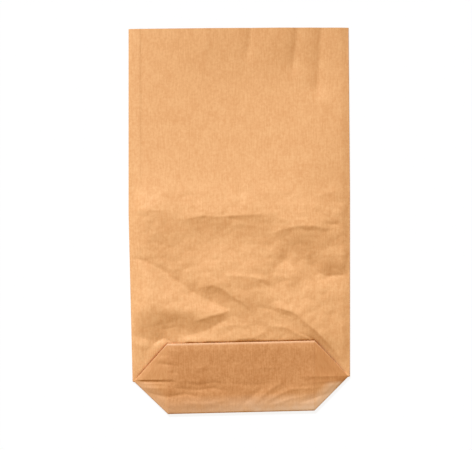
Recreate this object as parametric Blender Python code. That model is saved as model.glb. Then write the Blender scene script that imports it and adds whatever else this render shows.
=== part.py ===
"""A cross-bottom sack of brown kraft paper, empty and lying flat on its back wall.

The sack is one sheet: a flattened tube whose lower end is opened out, squashed and pasted shut, so that its
bottom is a long hexagon folded up over the front wall. A second, small sheet is pasted over the bottom.
The sheet is modelled as its middle surface, one section loop for each station across the sack, and the
Solidify modifier gives it its thickness.

Each section loop runs down the front wall from the mouth to the corner line, folds back up behind the pocket,
turns over the pocket's top edge, comes down over the pocket, turns under the bottom edge and runs up the back
wall to the mouth. Lengths are in metres, +X across the sack, +Y towards the mouth and +Z up from the floor.
"""

import math

import bmesh
import bpy
import numpy as np
from mathutils import Matrix, Vector

MM = 0.001

# Paper
PAPER_THICKNESS = 0.25 * MM
PATCH_THICKNESS = 0.20 * MM
LAYER_CLEARANCE = 0.30 * MM  # between two folded layers that lie on each other
PASTE_GAP = 0.30 * MM  # between the patch and the pocket under it
LAYER_PITCH = PAPER_THICKNESS + LAYER_CLEARANCE

# Tube, lying flat
TUBE_WIDTH = 251.0 * MM
TUBE_LENGTH = 397.0 * MM  # from the corner line to the mouth
SIDE_FOLD_GAP = 1.8 * MM  # the space inside a side fold
SIDE_FOLD_RADIUS = (SIDE_FOLD_GAP + PAPER_THICKNESS) / 2
SIDE_FOLD_MIDDLE = PAPER_THICKNESS / 2 + SIDE_FOLD_RADIUS
SIDE_FOLD_TOP = SIDE_FOLD_MIDDLE + SIDE_FOLD_RADIUS
LEFT_SHOULDER = 22.0 * MM  # how far in from the left fold the front wall takes to rise to its full height
RIGHT_SHOULDER = 9.0 * MM
LEFT_DRAW = 4.5 * MM  # how far the puffed belly pulls the left fold in, down at the corner
RIGHT_DRAW = 1.5 * MM  # how far the right fold leans in, up at the mouth
DRAW_LENGTH = 190.0 * MM
SEAM_WIDTH = 12.5 * MM  # the glued overlap of the long seam, on the front along the left fold
SEAM_STEP = 0.25 * MM

# Pocket, the folded bottom
POCKET_RUN = 41.0 * MM  # from a corner to where the long edges start
POCKET_UP = 41.0 * MM
POCKET_DOWN = 37.9 * MM
CORNER_BLUNT = 1.5 * MM  # the tip of each corner, where the pocket's layers haven't parted yet
WALL_FOLD_HEIGHT = 4.8 * MM  # of the front wall, where it folds back behind the pocket
POCKET_TOP_HEIGHT = 9.6 * MM
POCKET_DROOP = 1.6 * MM  # how much lower the top edge's two ends are
POCKET_DROOP_WIDTH = 14.0 * MM
POCKET_CREASE_HEIGHT = 6.4 * MM  # along the line between the corners, where the side folds were
POCKET_BOTTOM_HEIGHT = 3.0 * MM
BOTTOM_FOLD_BULGE = 0.4  # of the fold along the bottom's long edge, as a share of a half round
POCKET_PRESS = 0.30  # how steeply the front wall may rise away from the pocket's edge, which holds it down
BOTTOM_SKEW = 6.0 * MM  # how far the bottom was folded out of square, from left to right
MOUTH_SKEW = 1.5 * MM

# Patch, the sheet pasted over the bottom
PATCH_SIDE_MARGIN = 0.5 * MM
PATCH_EDGE_MARGIN = 0.6 * MM

# Spacing of the mesh
COLUMN_PITCH = 8.0 * MM
BELLY_ROW_PITCH = 6.4 * MM
UPPER_ROW_PITCH = 20.0 * MM
BELLY_LENGTH = 200.0 * MM  # the crumpled stretch above the corner line
FOLD_STEPS = 4

# The puffed form of the front wall: x from a line PUFF_LEFT off the middle, y up from the corner line, and
# height, in steps of PUFF_STEP, on a tube of the width and length that PUFF_SIZE gives.
PUFF_STEP = 1.0 * MM
PUFF_SIZE = (251.0 * MM, 397.0 * MM)
PUFF_LEFT = 1.4 * MM
MOUTH_PUFF = [
    (-128, 396, 3.4), (-105, 396, 5.2), (-70, 396, 7.6), (-25, 396, 9.8), (15, 396, 9.8), (50, 396, 11.0),
    (85, 396, 9.2), (112, 396, 6.0), (128, 396, 3.2),
    (-128, 348, 2.8), (-95, 348, 4.9), (-50, 348, 6.0), (0, 348, 6.0), (50, 348, 5.8), (90, 348, 5.2),
    (112, 348, 4.2), (128, 348, 3.0),
    (-128, 298, 3.0), (-95, 298, 5.1), (-50, 298, 6.1), (0, 298, 6.1), (50, 298, 5.9), (90, 298, 5.3),
    (112, 298, 4.2), (128, 298, 3.0),
    (-128, 243, 3.4), (-95, 243, 6.6), (-50, 243, 8.3), (0, 243, 8.5), (50, 243, 8.3), (90, 243, 7.2),
    (112, 243, 4.8), (128, 243, 3.0),
]
WAIST_PUFF = [
    (-128, 208, 4.2), (-100, 210, 9.0), (-50, 210, 10.8), (0, 212, 11.2), (45, 210, 11.0), (84, 208, 8.8),
    (114, 212, 4.8), (128, 203, 3.0),
    (-128, 192, 5.4), (-112, 192, 10.4), (-85, 188, 12.0), (-60, 182, 12.6), (-43, 185, 13.0),
    (-20, 184, 13.2),
    (0, 185, 13.3), (25, 186, 13.0), (45, 183, 12.6), (60, 178, 13.2), (74, 176, 12.8), (92, 173, 10.2),
    (108, 169, 7.0), (128, 170, 3.2),
    (-128, 163, 5.2), (-108, 158, 8.8), (-88, 160, 10.2), (-70, 158, 10.4), (-45, 156, 10.8),
    (-20, 158, 11.0),
    (5, 148, 11.0), (28, 162, 11.2), (50, 158, 11.0), (72, 148, 9.2), (95, 146, 8.2), (115, 148, 5.2),
    (128, 148, 3.0),
]
BELLY_PUFF = [
    (-128, 138, 4.6), (-110, 135, 7.8), (-95, 132, 8.5), (-75, 126, 8.8), (-50, 126, 10.6), (-22, 133, 12.6),
    (-10, 120, 12.8), (8, 118, 12.6), (30, 131, 11.2), (50, 134, 8.4), (68, 135, 7.6), (58, 119, 10.4),
    (80, 128, 6.8), (100, 136, 7.8), (118, 136, 5.8), (128, 128, 3.0),
    (-78, 110, 8.5), (-62, 106, 8.9), (-48, 96, 8.6), (-30, 88, 9.0), (-14, 80, 9.4), (-42, 108, 11.4),
    (-28, 108, 12.8), (-12, 98, 12.4), (4, 88, 11.6), (-128, 98, 5.4), (-110, 98, 9.2), (-85, 93, 10.8),
    (-62, 90, 9.8), (15, 110, 12.0), (32, 104, 10.8), (48, 108, 9.4), (72, 108, 8.2), (86, 117, 6.0),
    (102, 115, 4.4), (118, 116, 3.4), (128, 112, 2.6), (22, 92, 12.0), (48, 94, 10.2), (82, 100, 8.6),
    (64, 88, 9.8), (104, 102, 5.2), (120, 100, 3.6), (128, 86, 2.8), (10, 80, 10.6),
]
LOW_PUFF = [
    (-128, 76, 6.0), (-112, 76, 9.2), (-98, 78, 10.8), (-80, 79, 11.8), (-58, 76, 11.8), (-38, 73, 11.0),
    (-22, 75, 10.8), (-128, 50, 2.8), (-112, 47, 4.0), (-98, 46, 4.6), (-86, 49, 4.8), (-62, 52, 6.6),
    (-47, 49, 7.4), (-34, 51, 7.8), (-22, 60, 8.2), (-8, 68, 9.2), (-25, 48, 7.8), (0, 56, 8.8),
    (12, 70, 9.8),
    (26, 74, 10.2), (22, 56, 9.0), (42, 78, 11.0), (55, 73, 10.8), (66, 66, 10.2), (46, 60, 8.8),
    (60, 55, 8.4),
    (78, 60, 9.8), (92, 50, 8.7), (100, 76, 6.8), (103, 38, 6.4), (113, 26, 4.8), (122, 14, 3.4),
    (128, 58, 2.8),
    (116, 70, 4.0), (84, 44, 6.6), (94, 34, 5.2), (106, 21, 3.8),
    (-128, 18, 2.2), (-110, 20, 1.6), (-96, 28, 3.2), (-84, 42, 5.0), (-72, 42, 6.6), (-58, 41, 8.8),
    (-30, 41, 9.6),
    (0, 42, 9.6), (30, 42, 8.9), (60, 43, 8.2), (-126, -5, 1.8), (-76, -5, 5.8), (0, -2, 6.2),
    (78, 3, 5.8), (128, 4, 2.4),
    (-76, 18, 6.2), (0, 20, 7.0), (76, 20, 6.4),
]
PUFF = MOUTH_PUFF + WAIST_PUFF + BELLY_PUFF + LOW_PUFF
PUFF_SLACK = 30.0  # how loosely the surface keeps to the heights above
CREASE_TAPER = 12.0 * MM  # how far from its ends a crease starts to flatten out

# The creases of the front wall, in the same steps: rise, fall-off on the left of the way along it and on the
# right, and the points along it.
CREASES = [
    (0.8, 6, 4, [(-127, 190), (-110, 191.5), (-84, 190)]),
    (1.3, 9, 4, [(-62, 180), (-52, 183), (-43, 184.5), (-20, 183.5), (0, 185), (25, 186)]),
    (0.6, 9, 5, [(20, 186), (36, 184.5), (52, 180)]),
    (1.5, 7, 6, [(36, 164), (45, 168.5), (57, 171.5), (70, 173.5), (84, 173), (100, 169)]),
    (-1.3, 5.5, 11, [(-127, 136), (-117, 135.5), (-98, 128), (-84, 121), (-78, 114), (-66, 108), (-53, 97.5),
                  (-38, 90), (-25, 84), (-12, 78)]),
    (1.2, 7, 3.5, [(-48, 102), (-32, 106), (-20, 102), (-11, 94), (2, 86.5), (10, 79)]),
    (1.3, 6, 2.8, [(-52, 65.5), (-43, 68), (-34, 71), (-22, 73.5), (-12, 78)]),
    (-1.0, 7, 5, [(-66, 47), (-50, 51), (-38, 55), (-26, 62), (-10, 70)]),
    (-0.8, 6, 4, [(-127, 49), (-112, 45.5), (-100, 43), (-88, 48)]),
    (-1.8, 9, 6, [(76, 140), (80, 130), (88, 120), (97, 116), (112, 117), (126, 118)]),
    (1.6, 8, 3, [(40, 81), (57, 76.5), (66, 71), (75, 62), (84, 55.5), (93, 47), (100, 39), (111, 26),
                 (121, 13)]),
]

KRAFT_BROWN = (0.87, 0.46, 0.20, 1.0)
PATCH_BROWN = (0.73, 0.36, 0.14, 1.0)


def mix(a, b, share):
    """From a at share 0 to b at share 1, held at both ends."""
    return a + (b - a) * min(1.0, max(0.0, share))


def spaced(start, end, pitch):
    """Points from start to end, both included, about pitch apart."""
    count = max(1, round(abs(end - start) / pitch))
    return [start + (end - start) * i / count for i in range(count + 1)]


def puffed_surface(heights, slack):
    """A function of (x, y) arrays: the thin-plate spline that passes near the given (x, y, height) points."""
    points = np.array(heights, dtype=float)
    count = len(points)

    def pull(x, y):
        apart = (x - points[:, 0]) ** 2 + (y - points[:, 1]) ** 2
        return 0.5 * apart * np.log(np.maximum(apart, 1e-9))

    system = np.zeros((count + 3, count + 3))
    system[:count, :count] = pull(points[:, :1], points[:, 1:2]) + slack * np.eye(count)
    system[:count, count] = 1.0
    system[:count, count + 1:] = points[:, :2]
    system[count:, :count] = system[:count, count:].T
    weights = np.linalg.solve(system, np.append(points[:, 2], (0.0, 0.0, 0.0)))

    def height(x, y):
        plane = weights[count] + weights[count + 1] * x + weights[count + 2] * y
        return plane + pull(x[..., None], y[..., None]) @ weights[:count]

    return height


def crease_height(x, y, rise, left_width, right_width, path):
    """The sharp ridge, or with a rise below 0 the valley, along a path, flattening out at both its ends."""
    points = np.array(path, dtype=float)
    lengths = np.hypot(*(points[1:] - points[:-1]).T)
    starts = np.append(0.0, np.cumsum(lengths))
    nearest = np.full(x.shape, np.inf)
    side = np.zeros(x.shape)
    along = np.zeros(x.shape)
    for start, end, length, before in zip(points, points[1:], lengths, starts):
        way = (end - start) / length
        step = np.clip((x - start[0]) * way[0] + (y - start[1]) * way[1], 0.0, length)
        dx = x - start[0] - step * way[0]
        dy = y - start[1] - step * way[1]
        apart = np.hypot(dx, dy)
        closer = apart < nearest
        nearest = np.where(closer, apart, nearest)
        side = np.where(closer, way[0] * dy - way[1] * dx, side)
        along = np.where(closer, before + step, along)
    end_share = np.minimum(along, starts[-1] - along) / min(starts[-1] / 4, CREASE_TAPER / PUFF_STEP)
    fade = np.sqrt(np.clip(end_share, 0.02, 1.0))
    width = np.where(side > 0.0, left_width, right_width)
    return rise * fade * np.exp(-nearest / width)


def puff_height(x, y):
    """The front wall's free height over arrays of floor points, in metres."""
    x = x / PUFF_STEP * PUFF_SIZE[0] / TUBE_WIDTH - PUFF_LEFT / PUFF_STEP
    y = y / PUFF_STEP * PUFF_SIZE[1] / TUBE_LENGTH
    height = puffed_surface(PUFF, PUFF_SLACK)(x, y)
    for rise, left_width, right_width, path in CREASES:
        height = height + crease_height(x, y, rise, left_width, right_width, path)
    return height * PUFF_STEP


def across(a, y):
    """Where the station a, measured from the left fold, lies across the floor at y above the corner line."""
    pulled = LEFT_DRAW * mix(1.0, 0.0, y / DRAW_LENGTH)
    leaning = RIGHT_DRAW * mix(0.0, 1.0, (y - TUBE_LENGTH + DRAW_LENGTH) / DRAW_LENGTH)
    left = -TUBE_WIDTH / 2 + pulled
    right = TUBE_WIDTH / 2 - leaning
    return left + (right - left) * a / TUBE_WIDTH


def askew(x, y):
    """y, turned out of square as the bottom was folded."""
    return y + x / TUBE_WIDTH * mix(BOTTOM_SKEW, MOUTH_SKEW, y / TUBE_LENGTH)


def inset(a):
    """How far a station lies inside the nearer side fold."""
    return min(a, TUBE_WIDTH - a) - SIDE_FOLD_RADIUS


def columns():
    """Stations across the tube as (distance from the left fold, share round the side fold's quarter turn)."""
    quarter = [math.radians(90.0) * i / FOLD_STEPS for i in range(FOLD_STEPS)]
    left = [(SIDE_FOLD_RADIUS * (1.0 - math.cos(angle)), math.sin(angle)) for angle in quarter]
    right = [(TUBE_WIDTH - a, turn) for a, turn in reversed(left)]
    blunt = SIDE_FOLD_RADIUS + CORNER_BLUNT
    seam_end = SEAM_WIDTH + PAPER_THICKNESS
    stations = [SIDE_FOLD_RADIUS, SIDE_FOLD_RADIUS + CORNER_BLUNT / 2]
    stations += spaced(blunt, SEAM_WIDTH, COLUMN_PITCH / 2)
    stations += spaced(seam_end, POCKET_RUN, COLUMN_PITCH)
    stations += spaced(POCKET_RUN, TUBE_WIDTH - POCKET_RUN, COLUMN_PITCH)[1:]
    stations += spaced(TUBE_WIDTH - POCKET_RUN, TUBE_WIDTH - SEAM_WIDTH, COLUMN_PITCH)[1:]
    stations += spaced(TUBE_WIDTH - SEAM_WIDTH, TUBE_WIDTH - blunt, COLUMN_PITCH / 2)[1:]
    stations += [TUBE_WIDTH - SIDE_FOLD_RADIUS - CORNER_BLUNT / 2, TUBE_WIDTH - SIDE_FOLD_RADIUS]
    return left + [(a, 1.0) for a in stations] + right


def wall_rows():
    """Heights above the corner line at which the walls have a row of corners, from the mouth down."""
    return spaced(TUBE_LENGTH, BELLY_LENGTH, UPPER_ROW_PITCH) + spaced(BELLY_LENGTH, 0.0, BELLY_ROW_PITCH)[1:]


def pocket_rows(share):
    """Heights above the corner line at which the pocket's face has corners, from its top edge down."""
    top = [share * y for y in spaced(POCKET_UP, 0.0, BELLY_ROW_PITCH)]
    bottom = [share * y for y in spaced(0.0, -POCKET_DOWN, BELLY_ROW_PITCH)]
    return top + bottom[1:]


def pocket_share(a):
    """0 at a corner of the pocket, 1 where its long edges start."""
    return mix(0.0, 1.0, (inset(a) - CORNER_BLUNT) / (POCKET_RUN - SIDE_FOLD_RADIUS - CORNER_BLUNT))


def is_layered(a):
    """Whether the station lies inside the blunt tips, where the sack's end is folded up in layers."""
    return inset(a) > 0.99 * CORNER_BLUNT


def wall_fold_height(a):
    """The front wall's height where it folds back behind the pocket."""
    return mix(SIDE_FOLD_TOP, WALL_FOLD_HEIGHT, inset(a) / (POCKET_RUN - SIDE_FOLD_RADIUS))


def pocket_height(a, y):
    """The pocket's height: a plate creased along the corner line, that comes to a point at each corner."""
    share = pocket_share(a)
    corner = wall_fold_height(SIDE_FOLD_RADIUS + CORNER_BLUNT) + 2 * LAYER_PITCH
    if share == 0.0:
        return corner
    if y > 0.0:
        past_end = max(0.0, inset(a) + SIDE_FOLD_RADIUS - POCKET_RUN)
        top_height = POCKET_TOP_HEIGHT - POCKET_DROOP * math.exp(-past_end / POCKET_DROOP_WIDTH)
        plate = mix(POCKET_CREASE_HEIGHT, top_height, y / share / POCKET_UP)
    else:
        plate = mix(POCKET_CREASE_HEIGHT, POCKET_BOTTOM_HEIGHT, -y / share / POCKET_DOWN)
    return corner + share * (plate - corner)


def behind_pocket(a, y):
    """The height of the layer that runs up behind the pocket."""
    top = POCKET_UP * pocket_share(a)
    foot = wall_fold_height(a) + LAYER_PITCH
    head = pocket_height(a, top) - LAYER_PITCH
    return mix(foot, head, y / top) if top > 0.0 else foot


def front_height(a, y, puff):
    """The front wall's height: its puff, let down to the folds, to the corner line and under the pocket."""
    shoulder = mix(0.0, 1.0, inset(a) / (LEFT_SHOULDER if a < TUBE_WIDTH / 2 else RIGHT_SHOULDER))
    height = SIDE_FOLD_TOP + (puff - SIDE_FOLD_TOP) * math.sin(math.radians(90.0) * shoulder)
    if a <= SEAM_WIDTH:
        height += SEAM_STEP * mix(0.0, 1.0, inset(a) / CORNER_BLUNT)
    height = max(SIDE_FOLD_TOP, mix(wall_fold_height(a), height, y / POCKET_UP))
    past_pocket = max(0.0, y - POCKET_UP * pocket_share(a))
    return min(height, behind_pocket(a, y) - LAYER_PITCH + past_pocket * POCKET_PRESS)


def half_turn(y, low, high, bulge):
    """The points between two layers round a fold at y that bulges along Y, ends left out."""
    points = []
    for step in range(1, FOLD_STEPS):
        angle = math.pi * step / FOLD_STEPS
        share = (1.0 - math.cos(angle)) / 2
        points.append((y + bulge * math.sin(angle), low + (high - low) * share))
    return points


def section(a, turn, puffs):
    """One section loop as (y, z) points, from the mouth's front lip round the pocket to its back lip.

    At the blunt tips the end is simply closed, and all the points of the layers fall together.
    """
    floor = PAPER_THICKNESS / 2
    share = pocket_share(a)
    top = POCKET_UP * share
    bottom = -POCKET_DOWN * share
    front = [(y, front_height(a, y, puff)) for y, puff in zip(wall_rows(), puffs)]
    behind = [(y, behind_pocket(a, y)) for y in (0.0, top / 3, top * 2 / 3, top)]
    face = [(y, pocket_height(a, y)) for y in pocket_rows(share)]
    layers = half_turn(0.0, front[-1][1], behind[0][1], -LAYER_PITCH / 2)
    layers += behind
    layers += half_turn(top, behind[-1][1], face[0][1], LAYER_PITCH / 2)
    layers += face
    if not is_layered(a):
        layers = front[-1:] * len(layers)
    last = layers[-1][1]
    loop = front + layers
    bulge = mix(1.0, BOTTOM_FOLD_BULGE, share) * (floor - last) / 2
    loop += half_turn(bottom, last, floor, bulge * turn)
    loop += [(bottom, floor), (bottom / 2, floor)]
    loop += [(y, floor) for y in reversed(wall_rows())]
    return [(y, SIDE_FOLD_MIDDLE + (z - SIDE_FOLD_MIDDLE) * turn) for y, z in loop]


def is_tip_notch(column, row):
    """Whether a patch of the sheet between two columns would tie a tip to the layers beside it."""
    here, beyond = [is_layered(a) for a, _ in columns()[column:column + 2]]
    first = len(wall_rows()) - 1
    layer_count = 2 * (FOLD_STEPS - 1) + 4 + len(pocket_rows(1.0))
    return here != beyond and first <= row <= first + layer_count


def sheet_grid():
    """The whole folded sheet's middle surface as rows of corners."""
    stations = columns()
    floor_x = np.array([[across(a, y) for y in wall_rows()] for a, _ in stations])
    floor_y = np.array([[askew(across(a, y), y) for y in wall_rows()] for a, _ in stations])
    puffs = puff_height(floor_x, floor_y)
    grid = []
    for (a, turn), line in zip(stations, puffs):
        corners = [(across(a, y), y, z) for y, z in section(a, turn, line)]
        grid.append([Vector((x, askew(x, y), z)) for x, y, z in corners])
    return grid


def patch_grid():
    """The patch's middle surface, seated on the pocket."""
    lift = PAPER_THICKNESS / 2 + PASTE_GAP + PATCH_THICKNESS / 2
    left = POCKET_RUN + PATCH_SIDE_MARGIN
    rows = pocket_rows(1.0)
    rows[0] -= PATCH_EDGE_MARGIN
    rows[-1] += PATCH_EDGE_MARGIN
    grid = []
    for a in spaced(left, TUBE_WIDTH - left, COLUMN_PITCH):
        corners = [(across(a, y), y, pocket_height(a, y) + lift) for y in rows]
        grid.append([Vector((x, askew(x, y), z)) for x, y, z in corners])
    return grid


def paper(name, grid, thickness, material, is_open=None):
    """A sheet of paper whose middle surface passes through the grid, less the patches that is_open names."""
    mesh = bpy.data.meshes.new(name)
    shape = bmesh.new()
    corners = [[shape.verts.new(p) for p in line] for line in grid]
    for column, (left, right) in enumerate(zip(corners, corners[1:])):
        for row in range(len(left) - 1):
            if is_open is None or not is_open(column, row):
                shape.faces.new((left[row], left[row + 1], right[row + 1], right[row]))
    bmesh.ops.remove_doubles(shape, verts=shape.verts, dist=0.002 * MM)
    bmesh.ops.dissolve_degenerate(shape, edges=shape.edges, dist=0.002 * MM)
    bmesh.ops.recalc_face_normals(shape, faces=shape.faces)
    shape.to_mesh(mesh)
    shape.free()
    mesh.materials.append(material)
    mesh.shade_smooth()
    sheet = bpy.data.objects.new(name, mesh)
    bpy.context.scene.collection.objects.link(sheet)
    wall = sheet.modifiers.new("paper thickness", "SOLIDIFY")
    wall.thickness = thickness
    wall.offset = 0.0
    return sheet


def kraft(name, colour, roughness):
    material = bpy.data.materials.new(name)
    material.use_nodes = True
    shader = material.node_tree.nodes["Principled BSDF"]
    shader.inputs["Base Color"].default_value = colour
    shader.inputs["Roughness"].default_value = roughness
    shader.inputs["Metallic"].default_value = 0.0
    return material


def bounds(thing):
    """Lowest and highest corner of an object's evaluated mesh."""
    bpy.context.view_layer.update()
    shown = thing.evaluated_get(bpy.context.evaluated_depsgraph_get())
    corners = [Vector(c) for c in shown.bound_box]
    low = Vector([min(c[i] for c in corners) for i in range(3)])
    high = Vector([max(c[i] for c in corners) for i in range(3)])
    return low, high


def main():
    for thing in list(bpy.data.objects):
        bpy.data.objects.remove(thing)
    sack_kraft = kraft("kraft_paper", KRAFT_BROWN, 0.62)
    patch_kraft = kraft("patch_paper", PATCH_BROWN, 0.62)
    sack = paper("folded_sheet", sheet_grid(), PAPER_THICKNESS, sack_kraft, is_tip_notch)
    patch = paper("bottom_patch", patch_grid(), PATCH_THICKNESS, patch_kraft)
    low, high = bounds(sack)
    home = Vector(((low.x + high.x) / 2, (low.y + high.y) / 2, low.z))
    for sheet in (sack, patch):
        sheet.data.transform(Matrix.Translation(-home))


main()
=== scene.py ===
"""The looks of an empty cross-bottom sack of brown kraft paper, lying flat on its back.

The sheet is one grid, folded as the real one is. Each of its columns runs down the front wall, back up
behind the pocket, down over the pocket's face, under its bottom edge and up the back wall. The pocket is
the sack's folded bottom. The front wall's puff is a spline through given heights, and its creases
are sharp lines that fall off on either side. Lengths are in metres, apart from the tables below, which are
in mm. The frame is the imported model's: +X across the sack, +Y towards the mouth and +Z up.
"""

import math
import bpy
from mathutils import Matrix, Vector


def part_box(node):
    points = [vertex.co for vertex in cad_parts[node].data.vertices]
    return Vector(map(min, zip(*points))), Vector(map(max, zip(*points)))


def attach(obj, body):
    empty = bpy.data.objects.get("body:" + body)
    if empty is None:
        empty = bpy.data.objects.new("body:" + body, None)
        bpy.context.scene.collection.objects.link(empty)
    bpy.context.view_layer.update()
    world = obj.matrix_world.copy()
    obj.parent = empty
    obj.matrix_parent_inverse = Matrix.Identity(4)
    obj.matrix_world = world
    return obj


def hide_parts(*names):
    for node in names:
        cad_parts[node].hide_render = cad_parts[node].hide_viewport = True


bl_info = {
    "name": "Flat Paper Sack",
    "version": (1, 0, 0),
    "blender": (4, 5, 0),
    "location": "View3D > Sidebar > Paper Sack",
    "description": "Builds the creased kraft paper of an empty cross-bottom sack that lies flat",
    "category": "Object",
}

import bpy
import numpy as np
from mathutils import Vector, noise

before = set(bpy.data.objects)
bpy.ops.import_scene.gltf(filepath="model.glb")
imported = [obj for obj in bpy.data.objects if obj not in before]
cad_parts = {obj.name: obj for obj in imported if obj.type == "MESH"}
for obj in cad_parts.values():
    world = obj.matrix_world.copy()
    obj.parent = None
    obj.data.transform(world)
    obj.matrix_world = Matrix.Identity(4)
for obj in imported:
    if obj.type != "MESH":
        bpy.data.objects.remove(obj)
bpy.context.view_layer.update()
SHEET_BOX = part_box("folded_sheet")

MM = 0.001
PAPER_THICKNESS = 0.25 * MM

# The puffed form of the front wall, as (x, y up from the corner line, height) in mm.
PUFF_MIDDLE = -1.4  # the tables' x at the middle of the sack
MOUTH_PUFF = [
    (-128, 396, 3.4), (-105, 396, 5.2), (-70, 396, 7.6), (-25, 396, 9.8), (15, 396, 9.8), (50, 396, 11.0),
    (85, 396, 9.2), (112, 396, 6.0), (128, 396, 3.2),
    (-128, 348, 2.8), (-95, 348, 4.9), (-50, 348, 6.0), (0, 348, 6.0), (50, 348, 5.8), (90, 348, 5.2),
    (112, 348, 4.2), (128, 348, 3.0),
    (-128, 298, 3.0), (-95, 298, 5.1), (-50, 298, 6.1), (0, 298, 6.1), (50, 298, 5.9), (90, 298, 5.3),
    (112, 298, 4.2), (128, 298, 3.0),
    (-128, 243, 3.4), (-95, 243, 6.6), (-50, 243, 8.3), (0, 243, 8.5), (50, 243, 8.3), (90, 243, 7.2),
    (112, 243, 4.8), (128, 243, 3.0),
]
WAIST_PUFF = [
    (-128, 208, 4.2), (-100, 210, 9.0), (-50, 210, 10.8), (0, 212, 11.2), (45, 210, 11.0), (84, 208, 8.8),
    (114, 212, 4.8), (128, 203, 3.0),
    (-128, 192, 5.4), (-112, 192, 10.4), (-85, 188, 12.0), (-60, 182, 12.6), (-43, 185, 13.0),
    (-20, 184, 13.2), (0, 185, 13.3), (25, 186, 13.0), (45, 183, 12.6), (60, 178, 13.2), (74, 176, 12.8),
    (92, 173, 10.2), (108, 169, 7.0), (128, 170, 3.2),
    (-128, 163, 5.2), (-108, 158, 8.8), (-88, 160, 10.2), (-70, 158, 10.4), (-45, 156, 10.8),
    (-20, 158, 11.0), (5, 148, 11.0), (28, 162, 11.2), (50, 158, 11.0), (72, 148, 9.2), (95, 146, 8.2),
    (115, 148, 5.2), (128, 148, 3.0),
]
BELLY_PUFF = [
    (-128, 138, 4.6), (-110, 135, 7.8), (-95, 132, 8.5), (-75, 126, 8.8), (-50, 126, 10.6), (-22, 133, 12.6),
    (-10, 120, 12.8), (8, 118, 12.6), (30, 131, 11.2), (50, 134, 8.4), (68, 135, 7.6), (58, 119, 10.4),
    (80, 128, 6.8), (100, 136, 7.8), (118, 136, 5.8), (128, 128, 3.0),
    (-78, 110, 8.5), (-62, 106, 8.9), (-48, 96, 8.6), (-30, 88, 9.0), (-14, 80, 9.4), (-42, 108, 11.4),
    (-28, 108, 12.8), (-12, 98, 12.4), (4, 88, 11.6), (-128, 98, 5.4), (-110, 98, 9.2), (-85, 93, 10.8),
    (-62, 90, 9.8), (15, 110, 12.0), (32, 104, 10.8), (48, 108, 9.4), (72, 108, 8.2), (86, 117, 6.0),
    (102, 115, 4.4), (118, 116, 3.4), (128, 112, 2.6), (22, 92, 12.0), (48, 94, 10.2), (82, 100, 8.6),
    (64, 88, 9.8), (104, 102, 5.2), (120, 100, 3.6), (128, 86, 2.8), (10, 80, 10.6),
]
LOW_PUFF = [
    (-128, 76, 6.0), (-112, 76, 9.2), (-98, 78, 10.8), (-80, 79, 11.8), (-58, 76, 11.8), (-38, 73, 11.0),
    (-22, 75, 10.8), (-128, 50, 2.8), (-112, 47, 4.0), (-98, 46, 4.6), (-86, 49, 4.8), (-62, 52, 6.6),
    (-47, 49, 7.4), (-34, 51, 7.8), (-22, 60, 8.2), (-8, 68, 9.2), (-25, 48, 7.8), (0, 56, 8.8),
    (12, 70, 9.8), (26, 74, 10.2), (22, 56, 9.0), (42, 78, 11.0), (55, 73, 10.8), (66, 66, 10.2),
    (46, 60, 8.8), (60, 55, 8.4), (78, 60, 9.8), (92, 50, 8.7), (100, 76, 6.8), (103, 38, 6.4),
    (113, 26, 4.8), (122, 14, 3.4), (128, 58, 2.8), (116, 70, 4.0), (84, 44, 6.6), (94, 34, 5.2),
    (106, 21, 3.8),
    (-128, 18, 2.2), (-110, 20, 1.6), (-96, 28, 3.2), (-84, 42, 5.0), (-72, 42, 6.6), (-58, 41, 8.8),
    (-30, 41, 9.6), (0, 42, 9.6), (30, 42, 8.9), (60, 43, 8.2), (-126, -5, 1.8), (-76, -5, 5.8),
    (0, -2, 6.2), (78, 3, 5.8), (128, 4, 2.4),
    (-76, 18, 6.2), (0, 20, 7.0), (76, 20, 6.4),
]
PUFF = MOUTH_PUFF + WAIST_PUFF + BELLY_PUFF + LOW_PUFF
PUFF_SLACK = 30.0  # how loosely the surface keeps to the heights above
CREASE_TAPER = 12.0  # how far from its ends a crease starts to flatten out, in mm
TAPER_SHARE = 0.25  # and the largest share of its length that each end may take
CREASE_END = 0.02  # the least share of that way, so that its very end still shows

# Creases, in mm: rise, fall-off to the left of the way along it and to the right, and the points along it.
MAIN_CREASES = [
    (0.8, 6, 4, [(-127, 190), (-110, 191.5), (-84, 190)]),
    (1.3, 9, 4, [(-62, 180), (-52, 183), (-43, 184.5), (-20, 183.5), (0, 185), (25, 186)]),
    (0.6, 9, 5, [(20, 186), (36, 184.5), (52, 180)]),
    (1.5, 7, 6, [(36, 164), (45, 168.5), (57, 171.5), (70, 173.5), (84, 173), (100, 169)]),
    (-1.3, 5.5, 11, [(-127, 136), (-117, 135.5), (-98, 128), (-84, 121), (-78, 114), (-66, 108),
                     (-53, 97.5), (-38, 90), (-25, 84), (-12, 78)]),
    (1.2, 7, 3.5, [(-48, 102), (-32, 106), (-20, 102), (-11, 94), (2, 86.5), (10, 79)]),
    (1.3, 6, 2.8, [(-52, 65.5), (-43, 68), (-34, 71), (-22, 73.5), (-12, 78)]),
    (-1.0, 7, 5, [(-66, 47), (-50, 51), (-38, 55), (-26, 62), (-10, 70)]),
    (-0.8, 6, 4, [(-127, 49), (-112, 45.5), (-100, 43), (-88, 48)]),
    (-1.8, 9, 6, [(76, 140), (80, 130), (88, 120), (97, 116), (112, 117), (126, 118)]),
    (1.6, 8, 3, [(40, 81), (57, 76.5), (66, 71), (75, 62), (84, 55.5), (93, 47), (100, 39), (111, 26),
                 (121, 13)]),
]
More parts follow.
